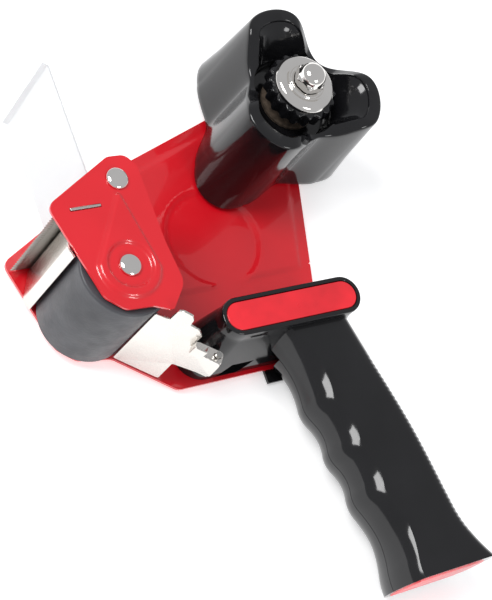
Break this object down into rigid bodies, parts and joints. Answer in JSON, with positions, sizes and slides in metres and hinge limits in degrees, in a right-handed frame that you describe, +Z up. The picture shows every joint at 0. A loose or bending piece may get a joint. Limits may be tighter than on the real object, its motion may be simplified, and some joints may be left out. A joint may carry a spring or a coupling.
{
  "type": "tape dispenser",
  "caption": "Hand-held packing tape dispenser with a pistol grip, sheet-metal frame, rubber roller, toothed cutter, clear flap and a three-lobed tape hub.",
  "frame": {"origin": "middle of the object's box, on the surface that the dispenser lies on", "axes": "+Z up along the tape hub's axis, from the frame plate towards the brake knob; +Y away from the grip, towards the clear flap's free edge; +X from the cutter towards the back of the grip"},
  "size_m": [0.1778, 0.2578, 0.0696],
  "materials": {
    "red_paint": "gloss",
    "nickel": "satin",
    "chrome": "polished",
    "blade_steel": "satin",
    "black_plastic": "gloss",
    "inner_plastic": "matte",
    "roller_rubber": "satin",
    "clear_plastic": "gloss",
    "red_plastic": "satin",
    "spring_steel": "satin",
    "fibre": "matte"
  },
  "bodies": {
    "frame": {"frame_plate": "red_paint", "cheek_plate": "red_paint", "tie_rod": "nickel", "roller_axle": "nickel", "blade_holder": "nickel", "cutter_blade": "blade_steel", "front_guard": "nickel", "blade_rivet_1": "nickel", "blade_rivet_2": "nickel", "blade_rivet_3": "nickel", "flap_root": "clear_plastic", "flap_clamp": "nickel", "flap_rivet_1": "nickel", "flap_rivet_2": "nickel", "guide_pin": "spring_steel", "guide_spring": "spring_steel", "near_handle_shell": "black_plastic", "far_handle_shell": "black_plastic", "grip_screw_1": "nickel", "grip_screw_2": "nickel", "grip_screw_3": "nickel", "bar_screw_1": "nickel", "bar_screw_2": "nickel", "inlay_panel": "red_plastic", "base_insert": "red_plastic", "spindle_bolt": "spring_steel", "brake_disc_far": "fibre", "brake_disc_near": "fibre", "brake_spring": "spring_steel"},
    "hub": {"tape_hub": "black_plastic", "hub_bush": "inner_plastic"},
    "roller": {"roller_core": "inner_plastic", "roller_sleeve": "roller_rubber"},
    "flap": {"tape_flap": "clear_plastic"},
    "guide": {"guide_plate": "nickel"},
    "pressure_plate": {"pressure_washer": "nickel"},
    "knob": {"brake_knob": "black_plastic", "dome_washer": "chrome", "cap_nut": "chrome"}
  },
  "joints": [
    {"name": "hub_spin", "type": "hinge", "parent": "frame", "child": "hub", "pos_m": [0.04794, 0.08568, 0.03], "axis": [0, 0, 1], "continuous": true},
    {"name": "roller_spin", "type": "hinge", "parent": "frame", "child": "roller", "pos_m": [-0.06416, 0.01858, 0.03], "axis": [0, 0, 1], "continuous": true},
    {"name": "flap_bend", "type": "hinge", "parent": "frame", "child": "flap", "pos_m": [-0.06696, 0.05668, 0.03], "axis": [0, 0, 1], "range_deg": [-12, 25], "stiffness_Nm_per_rad": 0.02},
    {"name": "guide_pivot", "type": "hinge", "parent": "frame", "child": "guide", "pos_m": [-0.02886, -0.01902, 0.03], "axis": [0, 0, 1], "range_deg": [0, 8], "stiffness_Nm_per_rad": 0.2, "springref_deg": -5.73},
    {"name": "brake_travel", "type": "slide", "parent": "frame", "child": "pressure_plate", "axis": [0, 0, -1], "range_m": [0, 0.0015], "deforming": ["brake_spring"]},
    {"name": "knob_turn", "type": "hinge", "parent": "pressure_plate", "child": "knob", "pos_m": [0.04794, 0.08568, 0.052], "axis": [0, 0, -1], "range_deg": [0, 432]}
  ],
  "couplings": [
    {"joint": "knob_turn", "follows": "brake_travel", "rad_per_m": 5026.5}
  ]
}
